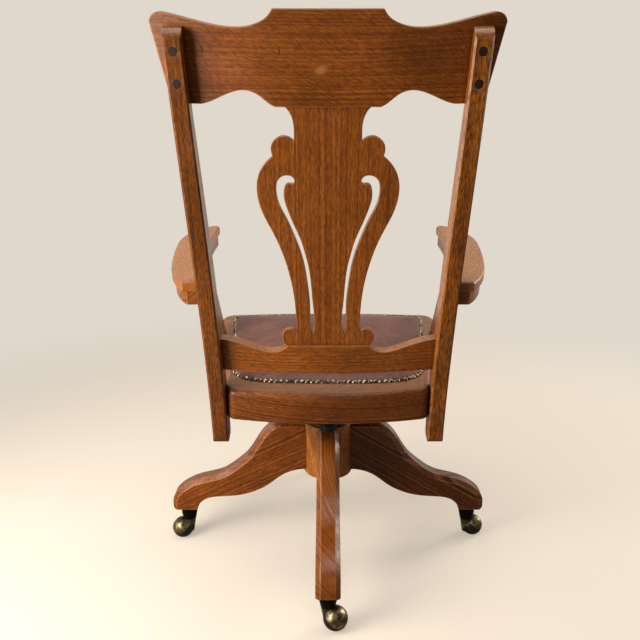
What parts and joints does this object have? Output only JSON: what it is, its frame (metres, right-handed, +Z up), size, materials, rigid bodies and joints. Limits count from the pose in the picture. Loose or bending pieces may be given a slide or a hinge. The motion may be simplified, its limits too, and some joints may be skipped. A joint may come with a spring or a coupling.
{
  "type": "bankers swivel chair",
  "caption": "Oak office chair with a bowed back, sawn vase splat, paddle arms, upholstered seat, tilting iron, screw column and a star base on ball casters.",
  "frame": {"origin": "on the floor below the spindle's axis, where the middle of the four casters stands", "axes": "+Z up, the sitter faces -Y, +X to the sitter's left"},
  "size_m": [0.7002, 0.6921, 1.0721],
  "materials": {
    "oak": "golden oak stain under worn varnish",
    "dowel_wood": "end grain, stained",
    "leather": "waxed, rubbed",
    "cast_iron": "black japanned",
    "steel": "oiled",
    "antique_brass": "aged",
    "wheel_composition": "hard moulded"
  },
  "bodies": {
    "base": {"hub": "oak", "leg_front": "oak", "leg_rear": "oak", "leg_left": "oak", "leg_right": "oak", "leg_dowels": "dowel_wood", "hub_cap": "cast_iron", "cap_screws": "steel", "caster_socket_rear": "antique_brass", "caster_socket_left": "antique_brass", "caster_socket_front": "antique_brass", "caster_socket_right": "antique_brass"},
    "height_nut": {"height_nut": "cast_iron"},
    "spindle": {"spindle": "steel", "spindle_collar": "steel"},
    "swivel": {"tilt_yoke": "cast_iron", "tilt_spring": "steel"},
    "tension_knob": {"tension_knob": "cast_iron"},
    "spring_cup": {"spring_cup": "cast_iron"},
    "seat": {"seat_iron": "cast_iron", "seat_iron_screws": "steel", "spring_cap": "cast_iron", "tilt_pin": "steel", "seat_board": "oak", "left_seat_bearer": "oak", "right_seat_bearer": "oak", "seat_pad": "leather", "seat_back_rail": "oak", "seat_front_rail": "oak", "seat_left_rail": "oak", "seat_right_rail": "oak", "left_back_post": "oak", "right_back_post": "oak", "crest_rail": "oak", "splat": "oak", "lower_back_rail": "oak", "left_arm_board": "oak", "right_arm_board": "oak", "left_arm_rail": "oak", "right_arm_rail": "oak", "left_arm_stump": "oak", "right_arm_stump": "oak", "frame_screws": "steel", "screw_plugs": "dowel_wood"},
    "caster_rear": {"caster_hood_rear": "antique_brass", "caster_axle_rear": "steel"},
    "wheel_rear": {"caster_wheel_rear": "wheel_composition"},
    "caster_left": {"caster_hood_left": "antique_brass", "caster_axle_left": "steel"},
    "wheel_left": {"caster_wheel_left": "wheel_composition"},
    "caster_front": {"caster_hood_front": "antique_brass", "caster_axle_front": "steel"},
    "wheel_front": {"caster_wheel_front": "wheel_composition"},
    "caster_right": {"caster_hood_right": "antique_brass", "caster_axle_right": "steel"},
    "wheel_right": {"caster_wheel_right": "wheel_composition"}
  },
  "joints": [
    {"name": "spindle_lift", "type": "slide", "parent": "base", "child": "spindle", "axis": [0, 0, 1], "range_m": [0, 0.048]},
    {"name": "height_nut_turn", "type": "hinge", "parent": "base", "child": "height_nut", "pos_m": [0, 0, 0.3], "axis": [0, 0, -1], "range_deg": [0, 2880.5]},
    {"name": "swivel", "type": "hinge", "parent": "spindle", "child": "swivel", "pos_m": [0, 0, 0.32], "axis": [0, 0, 1], "continuous": true},
    {"name": "tension_knob_turn", "type": "hinge", "parent": "swivel", "child": "tension_knob", "pos_m": [0, 0.078, 0.3], "axis": [0, 0, -1], "range_deg": [0, 900]},
    {"name": "spring_cup_lift", "type": "slide", "parent": "swivel", "child": "spring_cup", "axis": [0, 0, 1], "range_m": [0, 0.0051], "deforming": ["tilt_spring"]},
    {"name": "tilt_back", "type": "hinge", "parent": "swivel", "child": "seat", "pos_m": [0, 0, 0.352], "axis": [-1, 0, 0], "range_deg": [0, 14], "stiffness_Nm_per_rad": 260, "springref_deg": -12.61, "deforming": ["tilt_spring"]},
    {"name": "caster_rear_swivel", "type": "hinge", "parent": "base", "child": "caster_rear", "pos_m": [0, 0.312, 0.08], "axis": [0, 0, 1], "continuous": true},
    {"name": "wheel_rear_spin", "type": "hinge", "parent": "caster_rear", "child": "wheel_rear", "pos_m": [-0.01386, 0.32, 0.023], "axis": [-0.5567, 0.3214, 0.766], "continuous": true},
    {"name": "caster_left_swivel", "type": "hinge", "parent": "base", "child": "caster_left", "pos_m": [0.312, 0, 0.08], "axis": [0, 0, 1], "continuous": true},
    {"name": "wheel_left_spin", "type": "hinge", "parent": "caster_left", "child": "wheel_left", "pos_m": [0.32722, 0.00494, 0.023], "axis": [0.6113, 0.1986, 0.766], "continuous": true},
    {"name": "caster_front_swivel", "type": "hinge", "parent": "base", "child": "caster_front", "pos_m": [0, -0.312, 0.08], "axis": [0, 0, 1], "continuous": true},
    {"name": "wheel_front_spin", "type": "hinge", "parent": "caster_front", "child": "wheel_front", "pos_m": [-0.00918, -0.32511, 0.023], "axis": [-0.3687, -0.5265, 0.766], "continuous": true},
    {"name": "caster_right_swivel", "type": "hinge", "parent": "base", "child": "caster_right", "pos_m": [-0.312, 0, 0.08], "axis": [0, 0, 1], "continuous": true},
    {"name": "wheel_right_spin", "type": "hinge", "parent": "caster_right", "child": "wheel_right", "pos_m": [-0.32704, -0.00547, 0.023], "axis": [-0.604, -0.2198, 0.766], "continuous": true}
  ],
  "couplings": [
    {"joint": "height_nut_turn", "follows": "spindle_lift", "rad_per_m": 1047.2},
    {"joint": "spring_cup_lift", "follows": "tension_knob_turn", "m_per_rad": 0.00031831}
  ]
}
